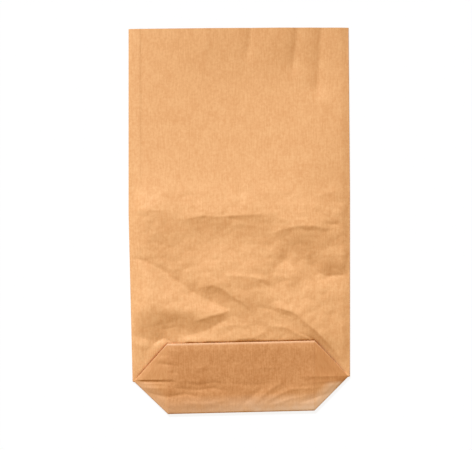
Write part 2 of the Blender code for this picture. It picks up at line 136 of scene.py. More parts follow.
FINE_CREASES = [
    (0.45, 6, 3, [(-45, 184), (-52, 176), (-50, 166)]),
    (0.5, 6, 4, [(-90, 170), (-86, 160), (-80, 148)]),
    (-0.3, 2.5, 3, [(-112, 191), (-90, 193)]),
    (-0.5, 2, 3, [(-22, 187), (-12, 180), (-3, 183)]),
    (0.4, 4, 3, [(-12, 172), (4, 176), (18, 172)]),
    (-0.7, 2, 3, [(96, 176), (103, 174.5), (112, 176)]),
    (-0.6, 3, 2, [(99, 151), (104, 149), (109, 151)]),
    (0.9, 2, 1.8, [(-120.5, 404), (-119.5, 300), (-118.5, 192)]),
    (0.8, 1.6, 2.5, [(-114.5, 404), (-114, 300), (-113.5, 188)]),
    (0.6, 4, 4, [(42, 156), (45, 146), (44, 136)]),
    (-0.6, 3, 2.5, [(27, 152), (37, 148)]),
    (-0.8, 5, 4, [(56, 137), (46, 131), (40, 126), (39, 118)]),
    (-0.6, 3, 3, [(19, 111), (29, 106), (40, 101)]),
    (-0.5, 3, 2, [(42, 109), (54, 111)]),
    (-0.8, 4, 4, [(18, 82), (38, 77), (58, 70)]),
    (-0.4, 2, 3, [(-94, 56), (-80, 57), (-69, 60)]),
    (-0.5, 2, 2.5, [(-128, 49), (-116, 48.5)]),
    (-1.5, 2.5, 1.8, [(-99, 38), (-94, 42.5), (-88, 44.8), (-82, 43.5), (-77, 40)]),
    (-0.7, 5, 8, [(-124, 60), (-110, 57), (-94, 60), (-78, 64)]),
    (-0.9, 4, 5, [(-142, 136.5), (-127, 136), (-112, 135), (-98, 130)]),
    (2.6, 14, 9, [(-142, 72), (-124, 73), (-110, 77)]),
    (-1.4, 6, 2.5, [(-142, 50), (-127, 49.5), (-116, 47.5), (-106, 44)]),
    (1.7, 6, 24, [(-146, 41), (-120, 40), (-104, 35)]),
    (0.5, 2.5, 6, [(-26, 58), (-8, 61), (12, 60)]),
    (1.5, 4, 5, [(34, 60), (52, 58), (66, 50), (82, 45)]),
    (-1.2, 2, 2, [(66, 52), (80, 46), (92, 35.5), (104, 22.5), (116, 10)]),
    (0.6, 3, 2, [(4, 44), (17, 47.5), (27, 52.5)]),
    (-0.4, 2, 3, [(4, 58), (18, 61), (28, 59)]),
    (-0.35, 3, 3, [(94, 72), (110, 75)]),
    (0.5, 5, 5, [(84, 205), (96, 210), (114, 213)]),
    (-0.3, 3, 3, [(-20, 224), (-3, 219)]),
    (-0.3, 3, 3, [(-6, 209), (10, 212)]),
    (-1.4, 8, 4, [(12, 408), (10, 380), (5, 360)]),
    (-2.1, 13, 6, [(65, 408), (63, 385), (58, 346)]),
    (-2.3, 15, 8, [(92, 408), (90, 380), (86, 318)]),
    (0.6, 3, 4, [(-38, 408), (-38, 385), (-40, 368)]),
    (1.1, 5, 5, [(-18, 117), (10, 116), (34, 110)]),
]
# Creases of the pocket's face, in the same way.
POCKET_CREASES = [
    (-1.5, 1.4, 6, [(-128, -0.2), (-112, -0.8), (-84, -1.4), (-72, -1.6)]),
    (0.7, 2.5, 3, [(-118, -7), (-100, -8.5), (-82, -9)]),
    (0.5, 1.5, 1.4, [(-124, 1.4), (-104, 1.2), (-82, 0.8)]),
    (0.5, 1.4, 2, [(-122, -2.6), (-102, -3.4), (-82, -4)]),
    (0.35, 2, 2, [(108, -4.5), (96, -5.5), (66, -7)]),
    (0.2, 2, 4, [(-84, -1), (-40, -2)]),
    (-0.7, 2, 3, [(-64, -3), (-48, -6), (-30, -3.5), (-14, -7)]),
    (0.7, 3, 3.5, [(66, 1), (90, 0.5), (112, 0.2)]),
    (0.3, 4, 3, [(120, -8.5), (57, -15), (20, -26)]),
    (-0.25, 2, 3, [(45, -23), (110, -18.5)]),
    (0.25, 2, 2, [(-56, 13.5), (-26, 13.5)]),
    (0.25, 2, 2, [(16, 12), (46, 12)]),
    (-1.0, 3, 2.5, [(-75, -9), (-50, -12), (-30, -10), (-15, -14)]),
    (0.7, 2.5, 2, [(16, -28), (30, -16), (48, -4)]),
    (0.6, 2, 2, [(26, -29), (44, -19), (62, -11)]),
    (-0.6, 2.5, 2, [(2, -30), (16, -18), (30, -8)]),
    (0.5, 2, 3, [(53, -13), (80, -12.5)]),
    (-0.8, 2, 1.5, [(-91, 29), (-84, 27)]),
    (-0.8, 1.5, 2, [(-97, 20.5), (-86, 18.5), (-74, 16.5)]),
    (-0.5, 1.5, 2, [(-80, 9), (-72, 8)]),
    (-1.0, 3, 3, [(-104, -14), (-84, -19), (-62, -16), (-44, -20)]),
    (0.5, 2.5, 2.5, [(-70, -26), (-40, -28), (-12, -24)]),
    (0.6, 3, 3, [(34, -31), (58, -24), (86, -19)]),
    (-0.6, 2.5, 3, [(66, -29), (84, -24), (98, -20)]),
    (-0.5, 3, 3, [(-10, -5), (14, -8), (36, -5)]),
]
POCKET_CUSHION = 0.9  # how far the pocket's face bulges off the layer behind it, in mm
RELIEF_EDGE = 1.8  # over which the pocket's creases flatten out towards its edges, in mm
CUSHION_EDGE = 8.0  # and over which its bulge does, in mm

# Soft dents all over, as (size, rise) in mm
CRUMPLES = [(17.0, 0.9), (8.0, 0.35)]
CRUMPLED = (0.0, 30.0, 185.0, 235.0), (0.5, 1.0, 1.0, 0.25)  # mm above the corner line, and their share there
POCKET_CRUMPLED = 0.5  # their share on the pocket
WALL_LAYER = 0.0  # where the wall's dents are cut from the noise
POCKET_LAYER = 7.0  # and the pocket's

# The paste's tint, which is partly painted shade, and painted light, as shares
LEFT_PASTE_SHADE = 0.66  # of the paste's tint at the left fold
SHEET_PASTE_SHADE = 1.0  # of it at the right fold, on the sheet
PATCH_PASTE_SHADE = 0.70  # and on the patch
PASTE_SHADE_LIFT = 0.6  # of it that gives way where the painted light is strongest
PASTE_SHADE_THIN = 0.85  # of it that is missing low on the right, as painted bounce light off the floor
THIN_START = 8 / 15  # how far across the sack it starts to thin out
THIN_RUN = 1 / 3  # and over how much of the width it does
# How far across the sack, and how strongly painted bounce light off the floor pales its bottom edge there
BOUNCE_ACROSS = (0.0, 0.35, 0.7, 0.85, 1.0), (0.4, 0.8, 1.5, 1.7, 1.2)
BOUNCE_FADE = 4.0 * MM  # how far below the corner line the bottom's painted bounce light takes to start
RIM_HIGHLIGHT = 0.7  # how strong the painted highlight on the pocket's long top edge is
SLANT_HIGHLIGHT = 0.1  # the least share of that, on its slanted edges
SLANT_END = 0.75  # the share of the pocket's full height from which it grows to the whole
RIM_HIGHLIGHT_WIDTH = 1.6 * MM  # how far down from its top edges the painted highlight reaches

# The paper's patterns
CLOUD_SIZE = 15.385 * MM  # where the pulp lies thicker
STREAK_WIDTH = 1.4286 * MM  # of the fibres along the web
STREAK_LENGTH = 12.5 * MM
FLECK_SIZE = 3.0303 * MM
CLOUD_SHARE = 0.32  # of each in the paper's shade
STREAK_SHARE = 0.34
FLECK_SHARE = 0.60
LIGHT_SHADE = 0.51  # the shade at which the paper is at its lightest
DARK_SHADE = 0.73  # and at its darkest
GRAIN_DEPTH = 0.2 * MM  # of the bump that streaks and flecks give
GRAIN_STRENGTH = 0.25

FLOOR_GLOW = 1.02  # how bright the floor's own white is to the camera
FLOOR_GLOW_SHARE = 0.86  # of that white in what the camera sees, which leaves the rest to the sack's shadow
SUN_WIDTH = 8.0  # of the key light, in degrees, which softens its shadows

MERGE_DISTANCE = 0.002 * MM  # under which corners are one
SMOOTH_ANGLE = 50.0  # the sharpest fold that is shaded smooth, in degrees


def linear(hex_code):
    """A colour written as sRGB hex, as the linear RGBA that Blender's shaders take."""
    parts = [int(hex_code[i:i + 2], 16) / 255.0 for i in (1, 3, 5)]
    return [c / 12.92 if c <= 0.04045 else ((c + 0.055) / 1.055) ** 2.4 for c in parts] + [1.0]


def length(name, value, description):
    """A size that the user can set."""
    return bpy.props.FloatProperty(
        name=name, default=value, description=description, unit="LENGTH", precision=5)


def colour(name, hex_code, description):
    """A colour that the user can set."""
    return bpy.props.FloatVectorProperty(
        name=name, default=linear(hex_code), description=description, subtype="COLOR", size=4,
        min=0.0, max=1.0)


class SackTube(bpy.types.PropertyGroup):
    """The flattened paper tube."""

    thickness: length("Paper", PAPER_THICKNESS, "Thickness of the sheet")
    clearance: length("Clearance", 0.12 * MM, "Between two folded layers that lie on each other")
    width: length("Width", SHEET_BOX[1][0] - SHEET_BOX[0][0] - PAPER_THICKNESS, "Flat width of the tube")
    height: length("Length", 397.0 * MM, "From the corner line to the mouth")
    side_gap: length("Side fold gap", 1.8 * MM, "The space inside a side fold")
    left_shoulder: length("Left shoulder", 22.0 * MM, "Over which the front rises from the left fold")
    right_shoulder: length("Right shoulder", 9.0 * MM, "Over which the front rises from the right fold")
    left_draw: length("Left draw", 4.5 * MM, "How far the belly pulls the left fold in, at the corner")
    right_draw: length("Right draw", 1.5 * MM, "How far the right fold leans in, at the mouth")
    draw_length: length("Draw length", 190.0 * MM, "Over which the side folds are drawn in")
    seam_width: length("Seam", 12.5 * MM, "Width of the glued overlap along the left fold")
    seam_step: length("Seam step", 0.30 * MM, "How far the overlap stands above the rest")
    seam_slope: length("Seam slope", 1.0 * MM, "Over which the paper comes down from the overlap")
    belly: length("Belly", 215.0 * MM, "The crumpled stretch above the corner line")
    column_pitch: length("Column pitch", 1.7 * MM, "Spacing of the mesh across the sack")
    belly_pitch: length("Belly pitch", 1.2 * MM, "Spacing of the mesh along the crumpled stretch")
    upper_pitch: length("Upper pitch", 6.0 * MM, "Spacing of the mesh along the plain stretch")


class SackPocket(bpy.types.PropertyGroup):
    """The folded bottom and the patch on it."""

    run: length("Run", 41.0 * MM, "From a corner to where the long edges start")
    up: length("Up", 41.0 * MM, "From the corner line to the pocket's top edge")
    down: length("Down", 37.9 * MM, "From the corner line to the pocket's bottom edge")
    blunt: length("Blunt", 1.5 * MM, "The tip of each corner, where the layers haven't parted yet")
    wall_height: length("Wall fold height", 4.8 * MM, "Of the front wall where it folds back")
    top_height: length("Top height", 9.6 * MM, "Of the pocket's sprung top edge")
    crease_height: length("Crease height", 6.4 * MM, "Of the pocket along the corner line")
    bottom_height: length("Bottom height", 3.0 * MM, "Of the pocket's bottom edge")
    droop: length("Droop", 1.6 * MM, "How much lower the top edge's two ends are")
    droop_width: length("Droop width", 14.0 * MM, "Over which the top edge comes down to them")
    rim_drop: length("Rim drop", 0.5 * MM, "How far the pocket's top edge curls down")
    rim_width: length("Rim", 1.2 * MM, "Width of that curl")
    dent: length("Dent", 1.5 * MM, "How deep the pocket's edge presses into the front wall")
    dent_width: length("Dent width", 2.2 * MM, "Over which the wall rises again beside the pocket")
    dent_start: bpy.props.FloatProperty(
        name="Dent start", default=0.125,
        description="Over which the dent sets in, as a share of the pocket's height")
    tip_dent: length("Tip dent", 0.9 * MM, "How far it presses the wall below the side folds' top")
    press: bpy.props.FloatProperty(
        name="Press", default=0.35, description="How steeply the wall may rise away from the pocket's edge")
    bulge: bpy.props.FloatProperty(
        name="Bulge", default=0.4, description="Of the long bottom edge's fold, as a share of a half round")
    bottom_skew: length("Bottom skew", 6.0 * MM, "How far out of square the bottom was folded")
    mouth_skew: length("Mouth skew", 1.5 * MM, "How far out of square the mouth is")
    # Painted bounce light off the floor: how far up from the bottom edge the paper is painted paler
    bounce_width: length("Wear", 20.0 * MM, "How far up from the bottom edge the paper is rubbed paler")
    patch_thickness: length("Patch", 0.15 * MM, "Thickness of the patch")
    paste_gap: length("Paste gap", 0.12 * MM, "Between the patch and the pocket")
    side_margin: length("Side margin", 0.5 * MM, "Of the patch inside the pocket's long edges' ends")
    edge_margin: length("Edge margin", 0.6 * MM, "Of the patch inside the pocket's top and bottom edges")


class SackFinish(bpy.types.PropertyGroup):
    """The paper's colours."""

    kraft: colour("Kraft", "#F3B97F", "Unbleached kraft paper")
    kraft_dark: colour("Kraft, dark", "#E4A56B", "Its darker clouds and fibres")
    patch: colour("Patch", "#F0B47B", "The patch's slightly darker paper")
    patch_dark: colour("Patch, dark", "#DA9A60", "Its darker clouds and fibres")
    # The paste's tint is partly painted shade of the pocket's face, which tilts away from the key light
    paste: colour("Paste", "#E2D1BF", "What the paste does to the paper's colour")
    # Painted light: bounce light off the floor on the bottom edge, and a highlight on the pocket's top edge
    painted_light_tone: colour("Worn", "#EFC9A6", "Where the bottom edge is rubbed down to paler fibres")
    roughness: bpy.props.FloatProperty(
        name="Roughness", default=0.62, description="Of the paper", min=0.0, max=1.0)


class SackStage(bpy.types.PropertyGroup):
    """The floor, the lights and the camera."""

    floor_size: length("Floor", 6.0, "Side of the floor")
    sun_turn: bpy.props.FloatProperty(
        name="Sun turn", default=math.radians(24.0), subtype="ANGLE",
        description="Of the key light, from the mouth towards the left")
    sun_height: bpy.props.FloatProperty(
        name="Sun height", default=math.radians(35.0), subtype="ANGLE",
        description="Of the key light above the floor")
    ambient: bpy.props.FloatVectorProperty(
        name="Ambient", default=(0.40, 0.28, 0.11), subtype="COLOR", min=0.0, max=1.0,
        description="Share of the red, green and blue light that comes from all round, off warm walls")
    camera_distance: length("Camera distance", 3.0, "From the floor to the camera")
    view_width: length("View width", 535.7 * MM, "Width of the floor that the image shows")
    view_x: length("View X", -3.7 * MM, "The middle of the image")
    view_y: length("View Y", -4.6 * MM, "The middle of the image")


# The folded sheet's shape


def mix(a, b, share):
    """From a at share 0 to b at share 1, held at both ends."""
    return a + (b - a) * min(1.0, max(0.0, share))


def spaced(start, end, pitch):
    """Points from start to end, both included, about pitch apart."""
    count = max(1, round(abs(end - start) / pitch))
    return [start + (end - start) * i / count for i in range(count + 1)]


def puffed_surface(heights, slack):
    """A function of (x, y) arrays: the thin-plate spline that passes near the given (x, y, height) points."""
    points = np.array(heights, dtype=float)
    count = len(points)

    def pull(x, y):
        apart = (x - points[:, 0]) ** 2 + (y - points[:, 1]) ** 2
        return 0.5 * apart * np.log(np.maximum(apart, 1e-9))

    system = np.zeros((count + 3, count + 3))
    system[:count, :count] = pull(points[:, :1], points[:, 1:2]) + slack * np.eye(count)
    system[:count, count] = 1.0
    system[:count, count + 1:] = points[:, :2]
    system[count:, :count] = system[:count, count:].T
    weights = np.linalg.solve(system, np.append(points[:, 2], (0.0, 0.0, 0.0)))

    def height(x, y):
        plane = weights[count] + weights[count + 1] * x + weights[count + 2] * y
        return plane + pull(x[..., None], y[..., None]) @ weights[:count]

    return height


def crease_height(x, y, rise, left_width, right_width, path):
    """The sharp ridge, or with a rise below 0 the valley, along a path, flattening out at both its ends."""
    points = np.array(path, dtype=float)
    lengths = np.hypot(*(points[1:] - points[:-1]).T)
    starts = np.append(0.0, np.cumsum(lengths))
    nearest = np.full(x.shape, np.inf)
    side = np.zeros(x.shape)
    along = np.zeros(x.shape)
    for start, end, size, before in zip(points, points[1:], lengths, starts):
        way = (end - start) / size
        step = np.clip((x - start[0]) * way[0] + (y - start[1]) * way[1], 0.0, size)
        dx = x - start[0] - step * way[0]
        dy = y - start[1] - step * way[1]
        apart = np.hypot(dx, dy)
        closer = apart < nearest
        nearest = np.where(closer, apart, nearest)
        side = np.where(closer, way[0] * dy - way[1] * dx, side)
        along = np.where(closer, before + step, along)
    end_share = np.minimum(along, starts[-1] - along) / min(starts[-1] * TAPER_SHARE, CREASE_TAPER)
    fade = np.sqrt(np.clip(end_share, CREASE_END, 1.0))
    width = np.where(side > 0.0, left_width, right_width)
    return rise * fade * np.exp(-nearest / width)


def puff_height(x, y):
    """The front wall's free height over arrays of floor points."""
    x = x / MM + PUFF_MIDDLE
    y = y / MM
    height = puffed_surface(PUFF, PUFF_SLACK)(x, y)
    for rise, left_width, right_width, path in MAIN_CREASES + FINE_CREASES:
        height = height + crease_height(x, y, rise, left_width, right_width, path)
    return (height + np.interp(y, *CRUMPLED) * crumple(x, y, WALL_LAYER)) * MM


def crumple(x, y, layer):
    """The dents of paper that has been handled: soft humps with sharp little valleys between them, in mm."""
    lift = np.zeros(x.size)
    for size, rise in CRUMPLES:
        places = [Vector((px / size, py / size, layer)) for px, py in zip(x.flat, y.flat)]
        lift += [rise * abs(noise.noise(place)) for place in places]
    return lift.reshape(x.shape)


def pocket_relief(x, y, edge):
    """How far the pocket's own creases lift it, over arrays of points, which lie edge inside its outline."""
    x = x / MM + PUFF_MIDDLE
    y = y / MM
    lift = POCKET_CRUMPLED * crumple(x, y, POCKET_LAYER)
    for rise, left_width, right_width, path in POCKET_CREASES:
        lift = lift + crease_height(x, y, rise, left_width, right_width, path)
    lift = lift * np.clip(edge / MM / RELIEF_EDGE, 0.0, 1.0)
    cushion = POCKET_CUSHION * np.clip(edge / MM / CUSHION_EDGE, 0.0, 1.0)
    return np.maximum(cushion + lift, 0.0) * MM


class Fold:
    """The folded sheet as a function of the station a across it and of the way y above the corner line."""

    FOLD_STEPS = 6  # of the mesh round a fold
    BEHIND_ROWS = 8  # of the mesh behind the pocket
    HIDDEN_PITCH = 4.0 * MM  # of the front wall's rows there
    BACK_PITCH = 30.0 * MM  # of the back wall's rows
    DENT_ZONE = 3.0 * MM  # the stretch above the pocket that has finer rows
    DENT_PITCH = 0.75 * MM
    RIM_ROW = 0.3 * MM  # how far below the pocket's top edge its second row lies
    FLATTEST_SHARE = 0.03  # to which the front wall's rows close up at a side fold
    REACHED = 0.99  # the share of a length at which a station counts as past it, in spite of rounding

    def __init__(self, tube, pocket):
        self.tube = tube
        self.pocket = pocket
        self.pitch = tube.thickness + tube.clearance
        self.radius = (tube.side_gap + tube.thickness) / 2
        self.middle = tube.thickness / 2 + self.radius
        self.top = self.middle + self.radius

    def across(self, a, y):
        """Where the station a, measured from the left fold, lies across the floor."""
        tube = self.tube
        pulled = tube.left_draw * mix(1.0, 0.0, y / tube.draw_length)
        leaning = tube.right_draw * mix(0.0, 1.0, (y - tube.height + tube.draw_length) / tube.draw_length)
        left = -tube.width / 2 + pulled
        right = tube.width / 2 - leaning
        return left + (right - left) * a / tube.width

    def askew(self, x, y):
        """y, turned out of square as the bottom was folded."""
        up = np.clip(y / self.tube.height, 0.0, 1.0)
        skew = self.pocket.bottom_skew + (self.pocket.mouth_skew - self.pocket.bottom_skew) * up
        return y + x / self.tube.width * skew

    def inset(self, a):
        """How far a station lies inside the nearer side fold."""
        return min(a, self.tube.width - a) - self.radius

    def columns(self):
        """Stations across the tube as (distance from the left fold, share round the fold's quarter turn)."""
        tube = self.tube
        quarter = [math.radians(90.0) * i / self.FOLD_STEPS for i in range(self.FOLD_STEPS)]
        left = [(self.radius * (1.0 - math.cos(angle)), math.sin(angle)) for angle in quarter]
        right = [(tube.width - a, turn) for a, turn in reversed(left)]
        blunt = self.radius + self.pocket.blunt
        run = self.pocket.run
        stations = [self.radius, self.radius + self.pocket.blunt / 2]
        stations += spaced(blunt, tube.seam_width, tube.column_pitch)
        stations += spaced(tube.seam_width + tube.seam_slope, run, tube.column_pitch)
        stations += spaced(run, tube.width - run, tube.column_pitch)[1:]
        stations += spaced(tube.width - run, tube.width - blunt, tube.column_pitch)[1:]
        stations += [tube.width - self.radius - self.pocket.blunt / 2, tube.width - self.radius]
        return left + [(a, 1.0) for a in stations] + right

    def wall_rows(self, a):
        """Heights above the corner line at which the front wall has corners, from the mouth down.

        One row of them follows the pocket's upper outline, which presses a dent into the wall.
        """
        tube = self.tube
        up = self.pocket.up
        rows = spaced(tube.height, tube.belly, tube.upper_pitch)
        rows += spaced(tube.belly, up + self.DENT_ZONE, tube.belly_pitch)[1:]
        rows += spaced(up + self.DENT_ZONE, up, self.DENT_PITCH)[1:]
        rows += spaced(up, 0.0, self.HIDDEN_PITCH)[1:]
        outline = max(self.FLATTEST_SHARE, self.share(a)) * up
        return [self.drawn_down(y, outline) for y in rows]

    def drawn_down(self, y, outline):
        """A row's height where the pocket's top edge is only outline high, with the rows above it spread."""
        up = self.pocket.up
        if y > 2 * up:
            return y
        if y > up:
            return mix(outline, 2 * up, (y - up) / up)
        return y / up * outline

    def back_rows(self):
        """Heights above the corner line at which the back wall has corners, from the corner line up."""
        return spaced(0.0, self.tube.height, self.BACK_PITCH)

    def pocket_rows(self, share):
        """Heights above the corner line at which the pocket's face has corners, from its top edge down."""
        rim = self.pocket.up - self.RIM_ROW
        top = [share * y for y in [self.pocket.up] + spaced(rim, 0.0, self.tube.belly_pitch)]
        bottom = [share * y for y in spaced(0.0, -self.pocket.down, self.tube.belly_pitch)]
        return top + bottom[1:]

    def share(self, a):
        """0 at a corner of the pocket, 1 where its long edges start."""
        pocket = self.pocket
        return mix(0.0, 1.0, (self.inset(a) - pocket.blunt) / (pocket.run - self.radius - pocket.blunt))

    def is_layered(self, a):
        """Whether the station lies inside the blunt tips, where the sack's end is folded up in layers."""
        return self.inset(a) > self.REACHED * self.pocket.blunt

    def wall_fold_height(self, a):
        """The front wall's height where it folds back behind the pocket."""
        return mix(self.top, self.pocket.wall_height, self.inset(a) / (self.pocket.run - self.radius))

    def pocket_height(self, a, y):
        """The pocket's height: a plate creased along the corner line, with a point at each corner."""
        pocket = self.pocket
        share = self.share(a)
        corner = self.wall_fold_height(self.radius + pocket.blunt) + 2 * self.pitch
        if share == 0.0:
            return corner
        if y > 0.0:
            past_end = max(0.0, self.inset(a) + self.radius - pocket.run)
            top_height = pocket.top_height - pocket.droop * math.exp(-past_end / pocket.droop_width)
            plate = mix(pocket.crease_height, top_height, y / share / pocket.up)
            if share == 1.0:
                plate -= pocket.rim_drop * math.exp((y - pocket.up) / pocket.rim_width)
        else:
            plate = mix(pocket.crease_height, pocket.bottom_height, -y / share / pocket.down)
        return corner + share * (plate - corner)

    def behind_pocket(self, a, y):
        """The height of the layer that runs up behind the pocket."""
        top = self.pocket.up * self.share(a)
        foot = self.wall_fold_height(a) + self.pitch
        head = self.pocket_height(a, top) - self.pitch
        return mix(foot, head, y / top) if top > 0.0 else foot

    def front_height(self, a, y, puff):
        """The front wall's height: its puff, let down to the side folds and under the pocket."""
        tube = self.tube
        shoulder = tube.left_shoulder if a < tube.width / 2 else tube.right_shoulder
        rise = mix(0.0, 1.0, self.inset(a) / shoulder)
        height = self.top + (puff - self.top) * math.sin(math.radians(90.0) * rise)
        if a <= tube.seam_width:
            height += tube.seam_step * mix(0.0, 1.0, self.inset(a) / self.pocket.blunt)
        height = max(self.top, mix(self.wall_fold_height(a), height, y / self.pocket.up))
        past_pocket = max(0.0, y - self.pocket.up * self.share(a))
        height = min(height, self.behind_pocket(a, y) - self.pitch + past_pocket * self.pocket.press)
        dent = self.pocket.dent * mix(0.0, 1.0, y / self.pocket.up / self.pocket.dent_start)
        lowest = self.top - self.pocket.tip_dent * mix(0.0, 1.0, self.inset(a) / self.pocket.blunt - 1.0)
        return max(lowest, height - dent * math.exp(-past_pocket / self.pocket.dent_width))

    def half_turn(self, y, low, high, bulge):
        """The points between two layers round a fold at y that bulges along Y, ends left out."""
        angles = [math.pi * step / self.FOLD_STEPS for step in range(1, self.FOLD_STEPS)]
        return [(y + bulge * math.sin(t), mix(low, high, (1.0 - math.cos(t)) / 2)) for t in angles]

    def section(self, a, turn, puffs):
        """One section loop as (y, z) points, from the mouth's front lip to its back lip."""
        floor = self.tube.thickness / 2
        share = self.share(a)
        top = self.pocket.up * share
        bottom = -self.pocket.down * share
        front = [(y, self.front_height(a, y, puff)) for y, puff in zip(self.wall_rows(a), puffs)]
        rows_behind = [up * top for up in spaced(0.0, 1.0, 1.0 / self.BEHIND_ROWS)]
        behind = [(y, self.behind_pocket(a, y)) for y in rows_behind]
        face = [(y, self.pocket_height(a, y)) for y in self.pocket_rows(share)]
        layers = self.half_turn(0.0, front[-1][1], behind[0][1], -self.pitch / 2)
        layers += behind
        layers += self.half_turn(top, behind[-1][1], face[0][1], self.pitch / 2)
        layers += face
        if not self.is_layered(a):
            layers = front[-1:] * len(layers)
        last = layers[-1][1]
        loop = front + layers
        bulge = mix(1.0, self.pocket.bulge, share) * (floor - last) / 2
        loop += self.half_turn(bottom, last, floor, bulge * turn)
        loop += [(bottom, floor), (bottom / 2, floor)]
        loop += [(y, floor) for y in self.back_rows()]
        return [(y, self.middle + (z - self.middle) * turn) for y, z in loop]

    def layer_span(self):
        """The first and last row of corners between the front wall and the bottom's fold."""
        first = len(self.wall_rows(0.0)) - 1
        count = 2 * (self.FOLD_STEPS - 1) + self.BEHIND_ROWS + 1 + len(self.pocket_rows(1.0))
        return first, first + count

    def face_rows(self):
        """The rows of corners on the pocket's face, as a slice."""
        _, last = self.layer_span()
        return slice(last - len(self.pocket_rows(1.0)) + 1, last + 1)

    def grid(self):
        """The whole sheet's middle surface as an array [column, row, xyz]."""
        stations = self.columns()
        rows = np.array([self.wall_rows(a) for a, _ in stations])
        floor_x = np.array([[self.across(a, y) for y in line] for (a, _), line in zip(stations, rows)])
        puffs = puff_height(floor_x, self.askew(floor_x, rows))
        sheet = []
        for (a, turn), line in zip(stations, puffs):
            sheet.append([(self.across(a, y), y, z) for y, z in self.section(a, turn, line)])
        sheet = np.array(sheet)
        face = sheet[:, self.face_rows()]
        edge = self.inside_edge(stations, face[..., 1])
        face[..., 2] += pocket_relief(face[..., 0], face[..., 1], edge)
        sheet[..., 1] = self.askew(sheet[..., 0], sheet[..., 1])
        return sheet

    def tints(self, grid, face, right_paste_shade):
        """What tints the corners of a grid, of which the rows in face lie on the pocket: the paste's tint,
        which is partly painted shade, and painted light.

        The paste's tint goes from its share at the left fold to the given share at the right one, with less
        of it where the painted light is, and low on the right, where painted bounce light off the floor
        stands in.
        """
        paste = np.zeros(grid.shape[:2])
        painted_light = np.zeros(grid.shape[:2])
        x = grid[:, face, 0]
        y = grid[:, face, 1]
        across = np.clip(x / self.tube.width + 0.5, 0.0, 1.0)
        highest = y[:, :1]
        lowest = y[:, -1:]
        below = lowest.min() + self.pocket.down - y
        # Painted bounce light off the floor, paling the bottom edge
        near_bottom = 1.0 - np.clip((y - lowest) / self.pocket.bounce_width, 0.0, 1.0)
        bottom = near_bottom * np.interp(across, *BOUNCE_ACROSS) * np.clip(below / BOUNCE_FADE, 0.0, 1.0)
        # Painted highlight along the pocket's rounded top edge
        tall = (highest - lowest) / (self.pocket.up + self.pocket.down)
        near_rim = 1.0 - np.clip((highest - y) / RIM_HIGHLIGHT_WIDTH, 0.0, 1.0)
        rim = RIM_HIGHLIGHT * near_rim * np.clip((tall - SLANT_END) / (1.0 - SLANT_END), SLANT_HIGHLIGHT, 1.0)
        painted_light[:, face] = np.maximum(bottom, rim)
        # The paste's painted shade thins low on the right, where painted bounce light off the floor takes its
        # place
        thin = np.clip(below / self.pocket.bounce_width, 0.0, 1.0)
        thin *= np.clip((across - THIN_START) / THIN_RUN, 0.0, 1.0)
        # The paste's tint, partly painted shade of the pocket's face
        paste_shade_share = LEFT_PASTE_SHADE + (right_paste_shade - LEFT_PASTE_SHADE) * across
        paste[:, face] = paste_shade_share * (1.0 - PASTE_SHADE_LIFT * painted_light[:, face]) * (1.0 - PASTE_SHADE_THIN * thin)
        return {"paste": paste, "painted_light": painted_light}

    def inside_edge(self, stations, y):
        """How far points on the pocket's face, in rows of y for each station, lie inside its edges."""
        share = np.array([[self.share(a)] for a, _ in stations])
        return np.minimum(self.pocket.up * share - y, self.pocket.down * share + y)

    def patch_grid(self):
        """The patch's middle surface, seated on the pocket."""
        pocket = self.pocket
        lift = self.tube.thickness / 2 + pocket.paste_gap + pocket.patch_thickness / 2
        left = pocket.run + pocket.side_margin
        highest = pocket.up - pocket.edge_margin
        lowest = pocket.edge_margin - pocket.down
        rows = [highest] + [y for y in self.pocket_rows(1.0) if lowest < y < highest] + [lowest]
        right = self.tube.width - left
        inner = [(a, turn) for a, turn in self.columns() if left < a < right]
        stations = [(left, 1.0)] + inner + [(right, 1.0)]
        sheet = np.array([
            [(self.across(a, y), y, self.pocket_height(a, y) + lift) for y in rows] for a, _ in stations])
        edge = self.inside_edge(stations, sheet[..., 1])
        sheet[..., 2] += pocket_relief(sheet[..., 0], sheet[..., 1], edge)
        sheet[..., 1] = self.askew(sheet[..., 0], sheet[..., 1])
        return sheet

    def home(self, grid):
        """What takes the sheet's own frame, on the corner line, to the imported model's frame."""
        low_y = SHEET_BOX[0][1]
        return np.array((0.0, low_y - (grid[..., 1].min() - self.tube.thickness / 2), 0.0))


# Mesh work


def new_grid(name, grid, tints):
    """A grid primitive whose corners are moved to grid[column, row], with the unfolded paper as its UV map.

    Each of the tints, a name and an array [column, row] of shares, becomes an attribute for the material.
    """
    columns, rows = grid.shape[:2]
    bpy.ops.object.select_all(action="DESELECT")
    bpy.ops.mesh.primitive_grid_add(
        x_subdivisions=columns - 1, y_subdivisions=rows - 1, size=2.0, calc_uvs=True)
    sheet = bpy.context.object
    sheet.name = name
    sheet.data.name = name
    flat = np.empty(len(sheet.data.vertices) * 3)
    sheet.data.vertices.foreach_get("co", flat)
    flat = flat.reshape(-1, 3)
    column = np.rint((flat[:, 0] + 1.0) / 2.0 * (columns - 1)).astype(int)
    row = np.rint((flat[:, 1] + 1.0) / 2.0 * (rows - 1)).astype(int)
    sheet.data.vertices.foreach_set("co", grid[column, row].ravel())
    for tint, share in tints.items():
        sheet.data.attributes.new(tint, "FLOAT", "POINT").data.foreach_set("value", share[column, row])
    steps = np.linalg.norm(np.diff(grid, axis=1), axis=2)
    down = np.concatenate([np.zeros((columns, 1)), np.cumsum(steps, axis=1)], axis=1)
    aside = np.repeat(grid[:, :1, 0], rows, axis=1)
    corner = np.empty(len(sheet.data.loops), dtype=int)
    sheet.data.loops.foreach_get("vertex_index", corner)
    paper = np.stack([aside[column, row], -down[column, row]], axis=1)[corner]
    sheet.data.uv_layers.active.uv.foreach_set("vector", paper.ravel())
    sheet.data.uv_layers.active.name = "paper"
    sheet.data.update()
    return sheet, column, row


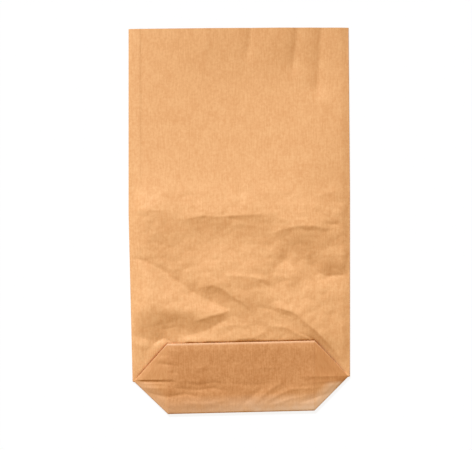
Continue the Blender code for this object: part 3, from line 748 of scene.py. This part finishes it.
def open_tips(sheet, column, row, fold):
    """Deletes the patches that would tie a blunt tip to the layers beside it."""
    bpy.ops.object.mode_set(mode="EDIT")
    bpy.ops.mesh.select_mode(type="FACE")
    bpy.ops.mesh.select_all(action="DESELECT")
    bpy.ops.object.mode_set(mode="OBJECT")
    layered = np.array([fold.is_layered(a) for a, _ in fold.columns()])
    first, last = fold.layer_span()
    for face in sheet.data.polygons:
        sides = layered[column[list(face.vertices)]]
        place = row[list(face.vertices)].min()
        face.select = bool(sides.any() and not sides.all() and first <= place < last)
    bpy.ops.object.mode_set(mode="EDIT")
    bpy.ops.mesh.delete(type="FACE")
    bpy.ops.object.mode_set(mode="OBJECT")


def thicken(sheet, thickness):
    """Merges the corners that fall together and gives the sheet its thickness, evenly on both sides."""
    bpy.ops.object.mode_set(mode="EDIT")
    bpy.ops.mesh.select_all(action="SELECT")
    bpy.ops.mesh.remove_doubles(threshold=MERGE_DISTANCE)
    bpy.ops.mesh.dissolve_degenerate(threshold=MERGE_DISTANCE)
    bpy.ops.mesh.select_all(action="SELECT")
    bpy.ops.mesh.normals_make_consistent(inside=False)
    bpy.ops.object.mode_set(mode="OBJECT")
    wall = sheet.modifiers.new("paper thickness", "SOLIDIFY")
    wall.thickness = thickness
    wall.offset = 0.0
    bpy.ops.object.modifier_apply(modifier=wall.name)
    bpy.ops.object.shade_smooth_by_angle(angle=math.radians(SMOOTH_ANGLE))


# Materials


def add(tree, kind, settings=None, **links):
    """A node of that kind, with its settings, and its inputs set to values or linked to outputs."""
    node = tree.nodes.new(kind)
    for name, value in (settings or {}).items():
        setattr(node, name, value)
    for name, value in links.items():
        socket = node.inputs[int(name[1:])] if name[0] == "i" and name[1:].isdigit() else node.inputs[name]
        if isinstance(value, bpy.types.NodeSocket):
            tree.links.new(value, socket)
        else:
            socket.default_value = value
    return node


def colour_socket(sockets, name="Result"):
    """The one of a Mix node's sockets of that name that takes colours."""
    return [socket for socket in sockets if socket.name == name and socket.type == "RGBA"][0]


def kraft_paper(name, light, dark, finish):
    """Unbleached kraft paper off the machine: matt, with clouds of pulp, fibres along the web and flecks."""
    material = bpy.data.materials.new(name)
    material.use_nodes = True
    tree = material.node_tree
    shader = tree.nodes["Principled BSDF"]
    paper = add(tree, "ShaderNodeUVMap", {"uv_map": "paper"}).outputs["UV"]

    # Clouds where the pulp lies thicker
    clouds = add(tree, "ShaderNodeTexNoise", Vector=paper, Scale=1.0 / CLOUD_SIZE, Detail=6.0, Roughness=0.62)
    # Streaks along the web, coarser than real fibres so that they show
    stretched = add(tree, "ShaderNodeMapping", Vector=paper,
                    Scale=(1.0 / STREAK_WIDTH, 1.0 / STREAK_LENGTH, 1.0))
    streaks = add(tree, "ShaderNodeTexNoise", Vector=stretched.outputs["Vector"], Scale=1.0, Detail=2.0)
    # Fibre flecks, with finer ones among them
    flecks = add(tree, "ShaderNodeTexNoise", Vector=paper, Scale=1.0 / FLECK_SIZE, Detail=8.0, Roughness=0.7)

    grain = add(tree, "ShaderNodeMath", {"operation": "MULTIPLY"}, i0=streaks.outputs["Fac"], i1=STREAK_SHARE)
    fine = add(tree, "ShaderNodeMath", {"operation": "MULTIPLY_ADD"}, i0=flecks.outputs["Fac"],
               i1=FLECK_SHARE, i2=grain.outputs["Value"])
    shade = add(tree, "ShaderNodeMath", {"operation": "MULTIPLY_ADD"}, i0=clouds.outputs["Fac"],
                i1=CLOUD_SHARE, i2=fine.outputs["Value"])
    ramp = add(tree, "ShaderNodeMapRange", Value=shade.outputs["Value"])
    ramp.inputs["From Min"].default_value = LIGHT_SHADE
    ramp.inputs["From Max"].default_value = DARK_SHADE
    blend = add(tree, "ShaderNodeMix", {"data_type": "RGBA"}, Factor=ramp.outputs["Result"])
    colour_socket(blend.inputs, "A").default_value = light
    colour_socket(blend.inputs, "B").default_value = dark

    # The paste's tint: partly paste that dulls the paper, partly painted shade of the pocket's face, which
    # tilts away from the key light
    paste = add(tree, "ShaderNodeAttribute", {"attribute_name": "paste"})
    paste_shaded = add(tree, "ShaderNodeMix", {"data_type": "RGBA", "blend_type": "MULTIPLY"},
                 Factor=paste.outputs["Fac"])
    tree.links.new(colour_socket(blend.outputs), colour_socket(paste_shaded.inputs, "A"))
    colour_socket(paste_shaded.inputs, "B").default_value = finish.paste

    # Painted light makes the paper paler, most of all where the pulp lies thicker: painted bounce light off
    # the floor on the bottom edge, and a painted highlight on the pocket's top edge
    painted_light = add(tree, "ShaderNodeAttribute", {"attribute_name": "painted_light"})
    painted_light_share = add(tree, "ShaderNodeMath", {"operation": "MULTIPLY"}, i0=painted_light.outputs["Fac"],
                 i1=clouds.outputs["Fac"])
    painted_light_tone = add(tree, "ShaderNodeMix", {"data_type": "RGBA"}, Factor=painted_light_share.outputs["Value"])
    tree.links.new(colour_socket(paste_shaded.outputs), colour_socket(painted_light_tone.inputs, "A"))
    colour_socket(painted_light_tone.inputs, "B").default_value = finish.painted_light_tone
    tree.links.new(colour_socket(painted_light_tone.outputs), shader.inputs["Base Color"])

    bump = add(tree, "ShaderNodeBump", Strength=GRAIN_STRENGTH, Distance=GRAIN_DEPTH,
               Height=fine.outputs["Value"])
    tree.links.new(bump.outputs["Normal"], shader.inputs["Normal"])
    shader.inputs["Roughness"].default_value = finish.roughness
    shader.inputs["Specular IOR Level"].default_value = 0.3
    return material


def pale_floor():
    """Seamless studio paper: white, and to the camera as bright as the cut-out background of a catalogue."""
    material = bpy.data.materials.new("studio_paper_white")
    material.use_nodes = True
    tree = material.node_tree
    shader = tree.nodes["Principled BSDF"]
    shader.inputs["Base Color"].default_value = linear("#F4F4F4")
    shader.inputs["Roughness"].default_value = 0.9
    shader.inputs["Specular IOR Level"].default_value = 0.0
    glow = add(tree, "ShaderNodeEmission", Color=(1.0, 1.0, 1.0, 1.0), Strength=FLOOR_GLOW)
    ray = add(tree, "ShaderNodeLightPath").outputs
    mirrored = add(tree, "ShaderNodeMath", {"operation": "MAXIMUM"}, i0=ray["Is Glossy Ray"],
                   i1=ray["Is Transmission Ray"])
    seen = add(tree, "ShaderNodeMath", {"operation": "MAXIMUM"}, i0=ray["Is Camera Ray"],
               i1=mirrored.outputs["Value"])
    share = add(tree, "ShaderNodeMath", {"operation": "MULTIPLY"}, i0=seen.outputs["Value"],
                i1=FLOOR_GLOW_SHARE)
    both = add(tree, "ShaderNodeMixShader", i0=share.outputs["Value"], i1=shader.outputs["BSDF"],
               i2=glow.outputs["Emission"])
    tree.links.new(both.outputs["Shader"], tree.nodes["Material Output"].inputs["Surface"])
    return material


# Operators


class SACK_OT_sheet(bpy.types.Operator):
    """Fold the sack's sheet and crease its front"""

    bl_idname = "sack.sheet"
    bl_label = "Folded sheet"

    def execute(self, context):
        fold = Fold(context.scene.sack_tube, context.scene.sack_pocket)
        finish = context.scene.sack_finish
        grid = fold.grid()
        grid += fold.home(grid)
        tints = fold.tints(grid, fold.face_rows(), SHEET_PASTE_SHADE)
        sheet, column, row = new_grid("kraft_sheet", grid, tints)
        open_tips(sheet, column, row, fold)
        thicken(sheet, fold.tube.thickness)
        paper = kraft_paper("kraft_paper_unbleached", finish.kraft, finish.kraft_dark, finish)
        sheet.data.materials.append(paper)
        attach(sheet, "root")
        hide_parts("folded_sheet")
        return {"FINISHED"}


class SACK_OT_patch(bpy.types.Operator):
    """Lay the patch over the sack's bottom"""

    bl_idname = "sack.patch"
    bl_label = "Bottom patch"

    def execute(self, context):
        fold = Fold(context.scene.sack_tube, context.scene.sack_pocket)
        finish = context.scene.sack_finish
        grid = fold.patch_grid() + fold.home(fold.grid())
        patch, _, _ = new_grid("kraft_patch", grid, fold.tints(grid, slice(None), PATCH_PASTE_SHADE))
        thicken(patch, fold.pocket.patch_thickness)
        paper = kraft_paper("kraft_paper_patch", finish.patch, finish.patch_dark, finish)
        patch.data.materials.append(paper)
        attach(patch, "root")
        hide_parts("bottom_patch")
        return {"FINISHED"}


class SACK_OT_stage(bpy.types.Operator):
    """Set the floor, the lights and the camera"""

    bl_idname = "sack.stage"
    bl_label = "Stage"

    def execute(self, context):
        stage = context.scene.sack_stage
        bpy.ops.object.select_all(action="DESELECT")
        bpy.ops.mesh.primitive_plane_add(size=stage.floor_size, location=(0.0, 0.0, 0.0))
        floor = context.object
        floor.name = "floor"
        floor.data.materials.append(pale_floor())

        bpy.ops.object.light_add(type="SUN", location=(-0.5, 1.0, 1.0))
        sun = context.object
        sun.name = "key_light"
        turn = math.radians(180.0) + stage.sun_turn
        sun.rotation_euler = (math.radians(90.0) - stage.sun_height, 0.0, turn)
        # Together with the world, it lights a surface that faces up at 1
        sun.data.energy = math.pi / math.sin(stage.sun_height)
        sun.data.color = [1.0 - share for share in stage.ambient]
        sun.data.angle = math.radians(SUN_WIDTH)

        world = bpy.data.worlds.new("studio_air")
        world.use_nodes = True
        world.node_tree.nodes["Background"].inputs["Color"].default_value = [*stage.ambient, 1.0]
        world.node_tree.nodes["Background"].inputs["Strength"].default_value = 1.0
        context.scene.world = world
        context.scene.view_settings.view_transform = "Standard"

        bpy.ops.object.camera_add(location=(stage.view_x, stage.view_y, stage.camera_distance))
        camera = context.object
        camera.name = "camera"
        camera.rotation_euler = (0.0, 0.0, 0.0)
        camera.data.lens = camera.data.sensor_width * stage.camera_distance / stage.view_width
        camera.data.clip_start = 0.01
        camera.data.clip_end = 100.0
        context.scene.camera = camera
        return {"FINISHED"}


class SACK_PT_panel(bpy.types.Panel):
    """The sack's pieces and sizes, in the 3D view's sidebar"""

    bl_label = "Paper Sack"
    bl_idname = "SACK_PT_panel"
    bl_space_type = "VIEW_3D"
    bl_region_type = "UI"
    bl_category = "Paper Sack"

    def draw(self, context):
        for group in ("sack_tube", "sack_pocket", "sack_finish", "sack_stage"):
            values = getattr(context.scene, group)
            box = self.layout.box()
            for name in values.bl_rna.properties.keys():
                if name not in ("name", "rna_type"):
                    box.prop(values, name)
        for operator in PIECES:
            self.layout.operator(operator.bl_idname)


GROUPS = {
    "sack_tube": SackTube,
    "sack_pocket": SackPocket,
    "sack_finish": SackFinish,
    "sack_stage": SackStage,
}
PIECES = [SACK_OT_sheet, SACK_OT_patch, SACK_OT_stage]


def register():
    for group in GROUPS.values():
        bpy.utils.register_class(group)
    for operator in PIECES:
        bpy.utils.register_class(operator)
    bpy.utils.register_class(SACK_PT_panel)
    for name, group in GROUPS.items():
        setattr(bpy.types.Scene, name, bpy.props.PointerProperty(type=group))


def unregister():
    for name in GROUPS:
        delattr(bpy.types.Scene, name)
    bpy.utils.unregister_class(SACK_PT_panel)
    for cls in PIECES + list(GROUPS.values()):
        bpy.utils.unregister_class(cls)


def main():
    register()
    bpy.ops.sack.sheet()
    bpy.ops.sack.patch()
    bpy.ops.sack.stage()


if __name__ == "__main__":
    main()
